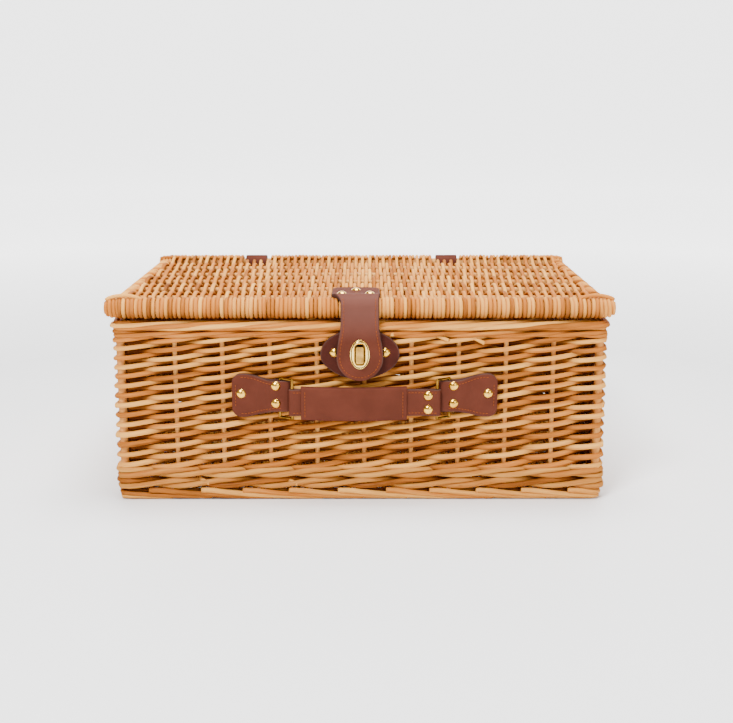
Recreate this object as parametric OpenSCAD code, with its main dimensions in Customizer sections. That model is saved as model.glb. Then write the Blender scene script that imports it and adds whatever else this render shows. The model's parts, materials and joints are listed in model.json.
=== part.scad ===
// Willow picnic hamper with a leather strap, turn lock and carrying handle.
// Origin: centre of the foot's underside. X: width, Y: depth (front is -Y), Z: up.

/* [Basket] */
// Width of the woven walls, outside
body_w = 468; // [460:1:476]
// Depth of the woven walls, outside
body_d = 333; // [325:1:341]
// Height of the rim's top above the ground
body_h = 178; // [174:1:186]
// Thickness of a woven wall
wall_t = 13; // [12:0.5:14]
// Height of the plaited foot border
foot_h = 11.5; // [10:0.5:12.5]
// Diameter of an upright stake
stake_d = 4.4; // [3.6:0.2:5]
// Diameter of a corner post
post_d = 7.8; // [7:0.2:8.4]

/* [Lid] */
// Length of the lid's two edge sticks
lid_w = 480; // [478:1:486]
// Depth of the lid over its wrapped edges
lid_d = 345; // [343:1:347]
// Diameter of an edge stick
edge_stick_d = 11.5; // [11.5:0.1:12]
// Thickness of the rods wrapped round an edge stick
wrap_t = 3.25; // [3:0.05:3.4]
// Thickness of the lid between its edges
lid_t = 13; // [12:0.5:14]

/* [Leather] */
// Thickness of the doubled leather of the clasp strap
strap_t = 3.9; // [3.4:0.1:4]
// Width of the clasp strap at its neck
neck_w = 36; // [32:1:38]
// Width of the clasp strap's round end
bulb_w = 44; // [42:1:48]
// Height of the clasp strap's lowest point
strap_low_z = 120.5; // [118:0.5:123]
// Height of the handle strap
handle_strap_h = 25.5; // [22:0.5:27]
// Length of the handle's grip sleeve
grip_l = 100; // [90:1:106]
// Width of a hinge strap
hinge_strap_w = 25; // [20:1:27]

/* [Brass] */
// Diameter of a rivet's domed cap
cap_d = 9; // [7:0.2:9]
// Diameter of a ring's wire
wire_d = 2.6; // [2.2:0.1:2.7]
// Distance between a ring's two bars
ring_w = 14.5; // [14.4:0.1:15]

/* [Hidden] */
$fn = 48;

willow = "#d39c62";
willow_dark = "#b9793f";
stick_brown = "#a8672f";
leather = "#87493a";
leather_dark = "#61342c";
brass = "#e3c368";

fit = 0.1;              // clearance of a turning fit, on the radius
outer_y = body_d / 2;   // outside face of the front and back walls
outer_x = body_w / 2;   // outside face of the end walls
inner_w = body_w - 2 * wall_t;
inner_d = body_d - 2 * wall_t;
corner_r = 9;           // outside corner of the woven walls

foot_proud = 1;         // how far the foot border stands out from the walls
rim_proud = 4;          // how far the rim border stands out from the walls
wale_proud = 0.5;       // how far the lower wale stands out from the walls
lower_wale_h = 21;
upper_wale_h = 6;
rim_h = 12;
siding_z = foot_h + lower_wale_h;
upper_wale_z = body_h - rim_h - upper_wale_h;
siding_h = upper_wale_z - siding_z;
rim_z = body_h - rim_h;

stake_pitch = body_w / 10.4;
stake_shift = 4;        // the front and back stakes sit slightly to the right
stake_y = outer_y - wall_t / 2;
stake_x = outer_x - wall_t / 2;
long_stakes = [for (k = [-4 : 4]) stake_shift + k * stake_pitch];
end_stakes = [for (k = [-2.5 : 2.5]) k * inner_d / 6.7];
stake_top = body_h - 6;

base_z = 3;
base_t = 13;
base_stick_d = 7;
base_stick_pitch = inner_d / 6.7;   // seven sticks and a little at each side

edge_z = body_h + 1 + edge_stick_d / 2 + wrap_t;    // height of the edge sticks' axes
edge_r = edge_stick_d / 2 + wrap_t;
edge_y = lid_d / 2 - edge_r;
lid_under_z = edge_z - lid_t / 2;
lid_top_z = edge_z + lid_t / 2;
lid_stick_d = 6.6;
lid_stick_pitch = edge_y / 3;
weave_end_x = 222;      // the lid's weave ends here and its end borders begin
binding_end_x = 236;
binding_r = edge_r + 0.6;
end_border_r = 7.5;
lid_stick_l = 2 * binding_end_x - 6;
end_border_l = 2 * (edge_y - binding_r - 0.3);

cap_r = cap_d / 2;
cap_h = 2.2;
shank_r = 1.5;
shank_fit = 0.05;
tail = 0.5;             // how far a shank stands out of its washer
washer_r = 5;
washer_t = 1;

lock_z = 146;           // height of the turn lock's axis
keeper_t = 3;
keeper_w = 75;
keeper_h = 42.5;
keeper_z = 144;
keeper_rivet_x = 24;
keeper_rivet_z = 146;
keeper_end_r = 9;       // corners at the patch's two ends
keeper_edge_r = 6;      // corners on its upper and lower edge
keeper_end_rise = 1.5;  // the ends sit a little above the patch's middle
keeper_top_half = 11;   // half the width between the upper corners
keeper_foot_half = 13;  // half the width between the lower corners
lock_plate_t = 1.7;
lock_plate_w = 24;
lock_plate_h = 34;
lock_shaft_r = 3;
lock_collar_r = 4.5;
lock_collar_t = 1.9;
lock_collar_gap = 0.6;  // air between the wall and the collar
lock_bore_r = lock_shaft_r + shank_fit;
flap_y = -lid_d / 2 - 0.9;          // back face of the hanging strap
flap_axis_z = edge_z + edge_r + 0.4;
neck_rise = 26;         // from the round end's middle up to the straight neck
eyelet_t = 1.4;
eyelet_back_t = 0.6;
eyelet_w = 18.8;
eyelet_h = 28.4;
slot_w = 8.2;
slot_h = 18.4;
knob_w = 7;
knob_h = 16;
knob_t = 3.9;
knob_corner_r = 1.6;
knob_gap = 0.4;         // air between the knob's head and the eyelet plate

root_front_y = flap_y + strap_t + fit + 0.2;
root_back_y = flap_y + 72;
root_pair_y = flap_y + 33;
root_single_y = flap_y + 55;
root_pair_x = 13.4;
root_w = 46;            // over the root's two ears
root_shift = -4;        // the ears and their rivets sit a little to the left of the neck
root_rest_z = edge_z + edge_r;      // underside of the strap where it lies on the edge
root_drop = root_rest_z - lid_top_z;
root_bend_y = flap_y + 13;          // the root leaves the edge's height here
root_flat_y = flap_y + 21;          // and lies on the lid from here
root_neck_l = 27;
root_ear_start = 8;     // how far the ears reach forward of the rivet pair
root_ear_r = 10;
root_notch_r = 7;       // hollows where the neck flares into the ears

hinge_xs = [-124.5, 101];
hinge_notch_w = hinge_strap_w + 2;
hinge_notch_depth = 12;
hinge_in_r = edge_stick_d / 2 + fit;
hinge_out_r = edge_r + 0.9;
hinge_leg_t = 2.6;
hinge_low_z = body_h - 50;
hinge_rivet_z = body_h - 36;
hinge_rivet_dz = 6;
hinge_bend_z = rim_z - 10;          // the leg leaves the wall here

handle_x = 4.5;         // the handle sits slightly to the right
tab_layers_t = 4.4;     // two layers of leather
tab_fold_t = 2.2;
pocket_play = 0.7;      // air round a ring's bar in its tab
pocket_r = wire_d / 2 + pocket_play;
tab_fold_r = pocket_r + tab_fold_t;
tab_bar_y = -outer_y - tab_fold_r;
tab_front_y = -outer_y - 2 * tab_fold_r;
bar_x = 68.3;           // a handle bar's distance from the handle's middle
handle_out = 8;         // how far the handle bars stand out from the tab bars
handle_y = tab_bar_y - handle_out;
ring_rest = asin(handle_out / ring_w);
ring_lifted = 68;
tab_bar_rest_x = bar_x + ring_w * cos(ring_rest);
tab_bar_lifted_x = bar_x + ring_w * cos(ring_lifted);
tab_end_x = 126;
tab_z = 105;
tab_narrow = 15;        // half the height at the ring
tab_wide = 21;          // half the height at the outer end
tab_corner_r = 9;
tab_flare_start = 85;
tab_flare_end = 115;
tab_thick_end = 92;
tab_thin_start = 102;
tab_inner_rivet_x = 84;
tab_inner_rivet_z = tab_z + 1.5;
tab_inner_rivet_dz = 8.5;
tab_outer_rivet_x = 117.2;
tab_outer_rivet_z = tab_z + 1.7;
strap_z = 100.2;        // height of the handle strap's middle
handle_fold_r = wire_d / 2 + fit + 2;
handle_layers_t = 4.4;
grip_h = handle_strap_h + 5;
grip_t = 9;
grip_corner_r = 3.5;
grip_left_x = -60.2;
grip_sag = 1.2;         // the grip hangs a little lower than the strap's ends
handle_rivet_x = 60;
handle_rivet_dz = 6.6;
ring_low_z = 84.3;
ring_high_z = 121.8;

// Centred rectangle with round corners
module rounded_outline(w, d, r) {
    square([w - 2 * r, d], center = true);
    square([w, d - 2 * r], center = true);
    for (sx = [-1, 1], sy = [-1, 1])
        translate([sx * (w / 2 - r), sy * (d / 2 - r)]) circle(r = r);
}

// Ellipse from a scaled circle's points
module oval(w, h) {
    polygon([for (a = [0 : 7.5 : 352.5]) [w / 2 * cos(a), h / 2 * sin(a)]]);
}

// Upright bores or rods at every stake and corner post
module at_stakes() {
    for (x = long_stakes, s = [-1, 1]) translate([x, s * stake_y, 0]) children();
    for (y = end_stakes, s = [-1, 1]) translate([s * stake_x, y, 0]) children();
}

module at_posts() {
    for (sx = [-1, 1], sy = [-1, 1]) translate([sx * stake_x, sy * stake_y, 0]) children();
}

// A woven ring that follows the walls, standing out by proud, bored for the uprights
module woven_ring(z, h, proud) {
    difference() {
        translate([0, 0, z]) linear_extrude(h) difference() {
            rounded_outline(body_w + 2 * proud, body_d + 2 * proud, corner_r + proud);
            square([inner_w, inner_d], center = true);
        }
        at_stakes() translate([0, 0, foot_h]) cylinder(d = stake_d, h = stake_top - foot_h);
        at_posts() translate([0, 0, foot_h]) cylinder(d = post_d, h = stake_top - foot_h);
    }
}

module foot_border() {
    color(willow) linear_extrude(foot_h) difference() {
        rounded_outline(body_w + 2 * foot_proud, body_d + 2 * foot_proud, corner_r + foot_proud);
        square([inner_w, inner_d], center = true);
    }
}

module along_x(length) {
    translate([-length / 2, 0, 0]) rotate([0, 90, 0]) children();
}

module base_stick_row() {
    for (k = [-3 : 3])
        translate([0, k * base_stick_pitch, base_z + base_t / 2])
            along_x(inner_w) cylinder(d = base_stick_d, h = inner_w);
}

module base_sticks() {
    color(stick_brown) base_stick_row();
}

module base_weave() {
    color(willow_dark) difference() {
        translate([-inner_w / 2, -inner_d / 2, base_z]) cube([inner_w, inner_d, base_t]);
        base_stick_row();
    }
}

module corner_posts() {
    color(stick_brown) at_posts()
        translate([0, 0, foot_h]) cylinder(d = post_d, h = stake_top - foot_h);
}

module side_stakes() {
    color(willow_dark) at_stakes()
        translate([0, 0, foot_h]) cylinder(d = stake_d, h = stake_top - foot_h);
}

module lower_wale() {
    color(willow) woven_ring(foot_h, lower_wale_h, wale_proud);
}

module upper_wale() {
    color(willow) woven_ring(upper_wale_z, upper_wale_h, 0);
}

module rim_border() {
    color(willow) woven_ring(rim_z, rim_h, rim_proud);
}

// One long wall with its corners; side is -1 for the front and 1 for the back
module long_wall(side) {
    difference() {
        translate([0, 0, siding_z]) linear_extrude(siding_h) intersection() {
            rounded_outline(body_w, body_d, corner_r);
            translate([0, side * stake_y]) square([body_w, wall_t], center = true);
        }
        for (x = long_stakes)
            translate([x, side * stake_y, 0]) cylinder(d = stake_d, h = body_h);
        at_posts() cylinder(d = post_d, h = body_h);
    }
}

module front_siding() {
    color(willow) difference() {
        long_wall(-1);
        keeper_rivet_places() shank_bore(wall_t + keeper_t + 1);
        for (s = [-1, 1]) tab_rivet_places(s) shank_bore(wall_t + 2 * tab_fold_r + 1);
    }
}

module back_siding() {
    color(willow) difference() {
        long_wall(1);
        hinge_rivet_places() shank_bore(wall_t + hinge_leg_t + 1);
    }
}

module end_wall(side) {
    color(willow) difference() {
        translate([side * stake_x - wall_t / 2, -inner_d / 2, siding_z])
            cube([wall_t, inner_d, siding_h]);
        for (y = end_stakes) translate([side * stake_x, y, 0]) cylinder(d = stake_d, h = body_h);
    }
}

module left_siding() {
    end_wall(-1);
}

module right_siding() {
    end_wall(1);
}

// Rivets are drawn with their cap's seat at z = 0, the cap above and the shank below
module rivet(grip) {
    dome_r = (cap_r * cap_r + cap_h * cap_h) / (2 * cap_h);
    intersection() {
        translate([0, 0, cap_h - dome_r]) sphere(r = dome_r);
        cylinder(r = cap_r, h = cap_h);
    }
    translate([0, 0, -grip]) cylinder(r = shank_r, h = grip);
}

module shank_bore(grip) {
    translate([0, 0, -grip]) cylinder(r = shank_r + shank_fit, h = grip + 1);
}

// A washer whose outer face lies at the given depth below the cap's seat
module washer(depth) {
    translate([0, 0, -depth]) difference() {
        cylinder(r = washer_r, h = washer_t);
        translate([0, 0, -1]) cylinder(r = shank_r + shank_fit, h = washer_t + 2);
    }
}

module facing_front() {
    rotate([90, 0, 0]) children();
}

module facing_back() {
    rotate([-90, 0, 0]) children();
}

module keeper_rivet_places() {
    for (s = [-1, 1])
        translate([s * keeper_rivet_x, -outer_y - keeper_t, keeper_rivet_z]) facing_front() children();
}

module keeper_patch() {
    color(leather_dark) difference() {
        translate([0, -outer_y, keeper_z]) facing_front() linear_extrude(keeper_t) hull() {
            for (s = [-1, 1]) {
                translate([s * (keeper_w / 2 - keeper_end_r), keeper_end_rise])
                    circle(r = keeper_end_r, $fn = 32);
                translate([s * keeper_top_half, keeper_h / 2 - keeper_edge_r])
                    circle(r = keeper_edge_r, $fn = 32);
                translate([s * keeper_foot_half, keeper_edge_r - keeper_h / 2])
                    circle(r = keeper_edge_r, $fn = 32);
            }
        }
        translate([0, -outer_y + 1, lock_z]) facing_front()
            cylinder(r = lock_collar_r + 0.5, h = keeper_t + 2);
        keeper_rivet_places() shank_bore(keeper_t + 1);
    }
}

module keeper_rivets() {
    color(brass) keeper_rivet_places() rivet(keeper_t + wall_t + washer_t + tail);
}

module keeper_washers() {
    color(brass) keeper_rivet_places() washer(keeper_t + wall_t + washer_t);
}

module turnlock_plate() {
    color(brass) difference() {
        translate([0, -outer_y - keeper_t, lock_z]) facing_front()
            linear_extrude(lock_plate_t) oval(lock_plate_w, lock_plate_h);
        translate([0, 0, lock_z]) facing_front() cylinder(r = lock_bore_r, h = body_d);
    }
}

// The turning lock: a collar behind the plate, a round shaft and a flat head
module turn_knob() {
    head_back_y = flap_y - strap_t - eyelet_t - knob_gap;
    color(brass) translate([0, 0, lock_z]) {
        translate([0, -outer_y - lock_collar_gap, 0]) facing_front() {
            cylinder(r = lock_collar_r, h = lock_collar_t);
            cylinder(r = lock_shaft_r, h = -head_back_y - outer_y + 1);
        }
        translate([0, head_back_y, 0]) facing_front() linear_extrude(knob_t)
            rounded_outline(knob_w, knob_h, knob_corner_r);
    }
}

// Half the height of a handle tab at a distance from the handle's middle
function flare(x) = min(1, max(0, (x - tab_flare_start) / (tab_flare_end - tab_flare_start)));
function tab_half(x) =
    tab_narrow + (tab_wide - tab_narrow) * pow(flare(x), 2) * (3 - 2 * flare(x));
tab_edge_xs = [for (k = [0 : 16]) tab_flare_start + k * (tab_flare_end - tab_flare_start) / 16];

module tab_outline() {
    start_x = tab_bar_lifted_x - tab_fold_r;
    intersection() {
        polygon(concat(
            [[start_x, -tab_narrow]],
            [for (x = tab_edge_xs) [x, -tab_half(x)]],
            [[tab_end_x, -tab_wide], [tab_end_x, tab_wide]],
            [for (k = [16 : -1 : 0]) [tab_edge_xs[k], tab_half(tab_edge_xs[k])]],
            [[start_x, tab_narrow]]
        ));
        translate([tab_end_x / 2, 0]) rounded_outline(tab_end_x, 2 * tab_wide, tab_corner_r);
    }
}

// A tab seen from above: thick round the ring's pocket, thin at its outer end
module tab_section() {
    translate([tab_bar_lifted_x, 0]) circle(r = tab_fold_r);
    translate([tab_bar_lifted_x, -tab_fold_r])
        square([tab_thick_end - tab_bar_lifted_x, 2 * tab_fold_r]);
    polygon([
        [tab_thick_end - 1, tab_fold_r],
        [tab_thick_end - 1, -tab_fold_r],
        [tab_thick_end, -tab_fold_r],
        [tab_thin_start, tab_fold_r - tab_layers_t],
        [tab_end_x + 1, tab_fold_r - tab_layers_t],
        [tab_end_x + 1, tab_fold_r]
    ]);
}

module pocket() {
    translate([tab_bar_lifted_x, 0]) circle(r = pocket_r);
    translate([tab_bar_rest_x, 0]) circle(r = pocket_r);
    translate([tab_bar_lifted_x, -pocket_r])
        square([tab_bar_rest_x - tab_bar_lifted_x, 2 * pocket_r]);
}

module tab_frame(side) {
    translate([handle_x, 0, 0]) mirror([side < 0 ? 1 : 0, 0, 0]) children();
}

module tab_rivet_places(side) {
    tab_frame(side) {
        for (s = [-1, 1])
            translate([tab_inner_rivet_x, tab_front_y, tab_inner_rivet_z + s * tab_inner_rivet_dz])
                facing_front() children();
        translate([tab_outer_rivet_x, -outer_y - tab_layers_t, tab_outer_rivet_z])
            facing_front() children();
    }
}

module handle_tab(side) {
    color(leather) difference() {
        tab_frame(side) difference() {
            intersection() {
                translate([0, tab_bar_y, tab_z - tab_wide - 1])
                    linear_extrude(2 * tab_wide + 2) tab_section();
                translate([0, -outer_y, tab_z]) facing_front()
                    linear_extrude(2 * tab_fold_r + 1) tab_outline();
            }
            translate([0, tab_bar_y, tab_z - tab_wide - 1])
                linear_extrude(2 * tab_wide + 2) pocket();
        }
        tab_rivet_places(side) shank_bore(2 * tab_fold_r + 1);
    }
}

module left_handle_tab() {
    handle_tab(-1);
}

module right_handle_tab() {
    handle_tab(1);
}

// A tab's rivets: the inner pair goes through the folded leather, the outer one through two layers
module tab_rivets(side) {
    color(brass) tab_frame(side) {
        for (s = [-1, 1])
            translate([tab_inner_rivet_x, tab_front_y, tab_inner_rivet_z + s * tab_inner_rivet_dz])
                facing_front() rivet(2 * tab_fold_r + wall_t + washer_t + tail);
        translate([tab_outer_rivet_x, -outer_y - tab_layers_t, tab_outer_rivet_z])
            facing_front() rivet(tab_layers_t + wall_t + washer_t + tail);
    }
}

module left_tab_rivets() {
    tab_rivets(-1);
}

module right_tab_rivets() {
    tab_rivets(1);
}

module tab_washers(side) {
    color(brass) tab_frame(side) {
        for (s = [-1, 1])
            translate([tab_inner_rivet_x, -outer_y, tab_inner_rivet_z + s * tab_inner_rivet_dz])
                facing_front() washer(wall_t + washer_t);
        translate([tab_outer_rivet_x, -outer_y, tab_outer_rivet_z])
            facing_front() washer(wall_t + washer_t);
    }
}

module left_tab_washers() {
    tab_washers(-1);
}

module right_tab_washers() {
    tab_washers(1);
}

module hinge_rivet_places() {
    for (x = hinge_xs, s = [-1, 1])
        translate([x, outer_y + hinge_leg_t, hinge_rivet_z + s * hinge_rivet_dz])
            facing_back() children();
}

// A hinge strap's leg from the side: up the back wall, out past the rim and up to the loop
module hinge_leg_section() {
    leg_out_y = edge_y + hinge_out_r - 0.3;
    polygon([
        [leg_out_y - hinge_leg_t, edge_z + 1],
        [leg_out_y, edge_z + 1],
        [leg_out_y, rim_z],
        [outer_y + hinge_leg_t, hinge_bend_z],
        [outer_y + hinge_leg_t, hinge_low_z],
        [outer_y, hinge_low_z],
        [outer_y, hinge_bend_z],
        [leg_out_y - hinge_leg_t, rim_z]
    ]);
}

module hinge_strap(x) {
    color(leather) difference() {
        union() {
            translate([x, edge_y, edge_z])
                along_x(hinge_strap_w) cylinder(r = hinge_out_r, h = hinge_strap_w);
            translate([x - hinge_strap_w / 2, 0, 0]) rotate([90, 0, 90])
                linear_extrude(hinge_strap_w) hinge_leg_section();
        }
        translate([x, edge_y, edge_z])
            along_x(hinge_strap_w + 2) cylinder(r = hinge_in_r, h = hinge_strap_w + 2);
        hinge_rivet_places() shank_bore(hinge_leg_t + 1);
    }
}

module left_hinge_strap() {
    hinge_strap(hinge_xs[0]);
}

module right_hinge_strap() {
    hinge_strap(hinge_xs[1]);
}

module hinge_rivets() {
    color(brass) hinge_rivet_places() rivet(hinge_leg_t + wall_t + washer_t + tail);
}

module hinge_washers() {
    color(brass) hinge_rivet_places() washer(hinge_leg_t + wall_t + washer_t);
}

module lid_stick_row() {
    for (k = [-2 : 2])
        translate([0, k * lid_stick_pitch, edge_z])
            along_x(lid_stick_l) cylinder(d = lid_stick_d, h = lid_stick_l);
}

module lid_sticks() {
    color(stick_brown) lid_stick_row();
}

module edge_stick(side) {
    translate([0, side * edge_y, edge_z]) along_x(lid_w) cylinder(d = edge_stick_d, h = lid_w);
}

module lid_front_stick() {
    color(stick_brown) edge_stick(-1);
}

module lid_back_stick() {
    color(stick_brown) edge_stick(1);
}

module lid_weave() {
    color(willow) difference() {
        union() {
            translate([-weave_end_x, -edge_y, lid_under_z]) cube([2 * weave_end_x, 2 * edge_y, lid_t]);
            for (s = [-1, 1]) translate([0, s * edge_y, edge_z])
                along_x(2 * weave_end_x) cylinder(r = edge_r, h = 2 * weave_end_x);
        }
        edge_stick(-1);
        edge_stick(1);
        lid_stick_row();
        for (x = hinge_xs)
            translate([x - hinge_notch_w / 2, edge_y - hinge_notch_depth, lid_under_z - lid_t])
                cube([hinge_notch_w, hinge_notch_depth + 2 * edge_r, 3 * lid_t]);
        root_rivet_places() shank_bore(2 * lid_t);
    }
}

// A rounded bar along one end of the lid, bored for the sticks that enter it
module lid_end_border(side) {
    color(willow) difference() {
        translate([side * (weave_end_x + end_border_r), end_border_l / 2, edge_z])
            rotate([90, 0, 0]) cylinder(r = end_border_r, h = end_border_l);
        lid_stick_row();
    }
}

module lid_left_border() {
    lid_end_border(-1);
}

module lid_right_border() {
    lid_end_border(1);
}

module lid_corner_bindings() {
    color(willow) difference() {
        for (sx = [-1, 1], sy = [-1, 1])
            translate([sx * (weave_end_x + binding_end_x) / 2, sy * edge_y, edge_z])
                along_x(binding_end_x - weave_end_x)
                    cylinder(r = binding_r, h = binding_end_x - weave_end_x);
        edge_stick(-1);
        edge_stick(1);
    }
}

module root_rivet_places() {
    for (s = [-1, 1])
        translate([root_shift + s * root_pair_x, root_pair_y, lid_top_z + strap_t]) children();
    translate([root_shift, root_single_y, lid_top_z + strap_t]) children();
}

// The strap's root from above: a neck that flares into two ears
module root_outline() {
    ear_front_y = root_pair_y - root_ear_start;
    difference() {
        union() {
            translate([-neck_w / 2, root_front_y]) square([neck_w, root_neck_l]);
            translate([root_shift, (ear_front_y + root_back_y) / 2])
                rounded_outline(root_w, root_back_y - ear_front_y, root_ear_r);
        }
        for (s = [-1, 1])
            translate([s * (neck_w / 2 + root_notch_r), ear_front_y - 3]) circle(r = root_notch_r);
    }
}

module clasp_strap_root() {
    color(leather) difference() {
        intersection() {
            translate([-root_w, 0, 0]) rotate([90, 0, 90]) linear_extrude(2 * root_w) polygon([
                [root_front_y, root_rest_z],
                [root_bend_y, root_rest_z],
                [root_flat_y, lid_top_z],
                [root_back_y, lid_top_z],
                [root_back_y, lid_top_z + strap_t],
                [root_flat_y, lid_top_z + strap_t],
                [root_bend_y, root_rest_z + strap_t],
                [root_front_y, root_rest_z + strap_t]
            ]);
            translate([0, 0, lid_under_z]) linear_extrude(2 * lid_t + root_drop) root_outline();
        }
        root_rivet_places() shank_bore(2 * lid_t);
    }
}

module clasp_root_rivets() {
    color(brass) root_rivet_places() rivet(strap_t + lid_t + washer_t + tail);
}

module clasp_root_washers() {
    color(brass) root_rivet_places() washer(strap_t + lid_t + washer_t);
}

module knob_slot() {
    translate([-slot_w / 2, flap_y - 3 * strap_t, lock_z - slot_h / 2])
        cube([slot_w, 5 * strap_t, slot_h]);
}

// The hanging part of the clasp strap, which bends about its rounded top edge
module clasp_flap() {
    bulb_z = strap_low_z + bulb_w / 2;
    neck_z = bulb_z + neck_rise;
    color(leather) difference() {
        union() {
            translate([0, flap_y, 0]) facing_front() linear_extrude(strap_t) {
                hull() {
                    translate([0, bulb_z]) circle(d = bulb_w, $fn = 64);
                    translate([-neck_w / 2, neck_z]) square([neck_w, 1]);
                }
                translate([-neck_w / 2, neck_z]) square([neck_w, flap_axis_z - neck_z]);
            }
            translate([0, flap_y, flap_axis_z]) along_x(neck_w) cylinder(r = strap_t, h = neck_w);
        }
        knob_slot();
    }
}

module eyelet_plate() {
    color(brass) difference() {
        translate([0, flap_y - strap_t, lock_z]) facing_front()
            linear_extrude(eyelet_t) oval(eyelet_w, eyelet_h);
        knob_slot();
    }
}

module eyelet_back_plate() {
    color(brass) difference() {
        translate([0, flap_y + eyelet_back_t, lock_z]) facing_front()
            linear_extrude(eyelet_back_t) oval(eyelet_w, eyelet_h);
        knob_slot();
    }
}

module strap_block(x0, x1, t, h) {
    translate([x0, -t / 2, strap_z - h / 2]) cube([x1 - x0, t, h]);
}

module handle_frame() {
    translate([handle_x, handle_y, 0]) children();
}

module handle_rivet_places() {
    for (s = [-1, 1])
        translate([handle_rivet_x, -handle_layers_t / 2, strap_z + s * handle_rivet_dz])
            facing_front() children();
}

// The strap's two ends are folded round the rings' bars
module handle_strap() {
    color(leather) handle_frame() difference() {
        union() {
            strap_block(-bar_x, bar_x, handle_layers_t, handle_strap_h);
            for (s = [-1, 1]) translate([s * bar_x, 0, strap_z - handle_strap_h / 2])
                cylinder(r = handle_fold_r, h = handle_strap_h);
        }
        for (s = [-1, 1]) translate([s * bar_x, 0, strap_z - handle_strap_h])
            cylinder(r = wire_d / 2 + fit, h = 2 * handle_strap_h);
        handle_rivet_places() shank_bore(handle_layers_t + 1);
    }
}

module handle_grip() {
    color(leather) handle_frame() difference() {
        translate([grip_left_x, 0, strap_z - grip_sag]) rotate([90, 0, 90])
            linear_extrude(grip_l) rounded_outline(grip_t, grip_h, grip_corner_r);
        strap_block(-bar_x, bar_x, handle_layers_t, handle_strap_h);
    }
}

module handle_rivets() {
    color(brass) handle_frame() handle_rivet_places() rivet(handle_layers_t + tail);
}

// A wire ring whose first bar stands at the origin and whose second lies along X
module wire_ring() {
    for (x = [0, ring_w]) {
        translate([x, 0, ring_low_z]) cylinder(d = wire_d, h = ring_high_z - ring_low_z);
        for (z = [ring_low_z, ring_high_z]) translate([x, 0, z]) sphere(d = wire_d);
    }
    for (z = [ring_low_z, ring_high_z])
        translate([0, 0, z]) rotate([0, 90, 0]) cylinder(d = wire_d, h = ring_w);
}

module left_ring() {
    color(brass) handle_frame() translate([-bar_x, 0, 0])
        rotate([0, 0, 180 - ring_rest]) wire_ring();
}

module right_ring() {
    color(brass) handle_frame() translate([bar_x, 0, 0])
        rotate([0, 0, ring_rest]) wire_ring();
}

foot_border();
base_sticks();
base_weave();
corner_posts();
side_stakes();
lower_wale();
front_siding();
back_siding();
left_siding();
right_siding();
upper_wale();
rim_border();
keeper_patch();
keeper_rivets();
keeper_washers();
turnlock_plate();
left_handle_tab();
right_handle_tab();
left_tab_rivets();
right_tab_rivets();
left_tab_washers();
right_tab_washers();
left_hinge_strap();
right_hinge_strap();
hinge_rivets();
hinge_washers();
lid_sticks();
lid_front_stick();
lid_back_stick();
lid_weave();
lid_left_border();
lid_right_border();
lid_corner_bindings();
clasp_strap_root();
clasp_root_rivets();
clasp_root_washers();
clasp_flap();
eyelet_plate();
eyelet_back_plate();
turn_knob();
handle_strap();
handle_grip();
handle_rivets();
left_ring();
right_ring();
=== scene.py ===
import json
import math
import bpy
import numpy as np
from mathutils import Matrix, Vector


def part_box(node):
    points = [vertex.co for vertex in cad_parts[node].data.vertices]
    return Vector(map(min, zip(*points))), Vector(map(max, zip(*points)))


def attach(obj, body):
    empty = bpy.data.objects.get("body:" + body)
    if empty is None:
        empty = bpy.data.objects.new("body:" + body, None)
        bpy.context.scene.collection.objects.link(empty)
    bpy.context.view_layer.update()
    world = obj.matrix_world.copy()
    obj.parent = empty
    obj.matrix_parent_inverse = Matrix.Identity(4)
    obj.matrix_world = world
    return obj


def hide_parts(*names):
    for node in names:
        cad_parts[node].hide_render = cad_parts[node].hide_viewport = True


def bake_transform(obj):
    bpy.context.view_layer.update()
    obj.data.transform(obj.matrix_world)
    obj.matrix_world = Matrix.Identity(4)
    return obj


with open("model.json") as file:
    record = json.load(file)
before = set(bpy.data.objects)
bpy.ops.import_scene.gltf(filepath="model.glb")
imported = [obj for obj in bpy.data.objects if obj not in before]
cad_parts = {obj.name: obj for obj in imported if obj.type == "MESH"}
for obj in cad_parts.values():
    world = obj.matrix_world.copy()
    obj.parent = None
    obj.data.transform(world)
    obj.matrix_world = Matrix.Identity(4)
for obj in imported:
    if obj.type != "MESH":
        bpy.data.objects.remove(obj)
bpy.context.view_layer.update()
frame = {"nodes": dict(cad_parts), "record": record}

# Lengths are in millimetres until a mesh is built.
MM = 0.001
rng = np.random.default_rng(11)


def node_box(name):
    """A CAD node's box as two arrays in millimetres."""
    low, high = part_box(name)
    return np.array(low) / MM, np.array(high) / MM


# ---- sizes from the frame

FOOT_LOW, FOOT_HIGH = node_box("foot_border")
LOW_WALE_LOW, LOW_WALE_HIGH = node_box("lower_wale")
FRONT_LOW, FRONT_HIGH = node_box("front_siding")
UP_WALE_LOW, UP_WALE_HIGH = node_box("upper_wale")
RIM_LOW, RIM_HIGH = node_box("rim_border")
STAKES_HIGH = node_box("side_stakes")[1]
POSTS_HIGH = node_box("corner_posts")[1]
BASE_LOW, BASE_HIGH = node_box("base_weave")
LID_HIGH = node_box("lid_weave")[1]
STICK_LOW, STICK_HIGH = node_box("lid_front_stick")
LID_STICKS_LOW, LID_STICKS_HIGH = node_box("lid_sticks")

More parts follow.
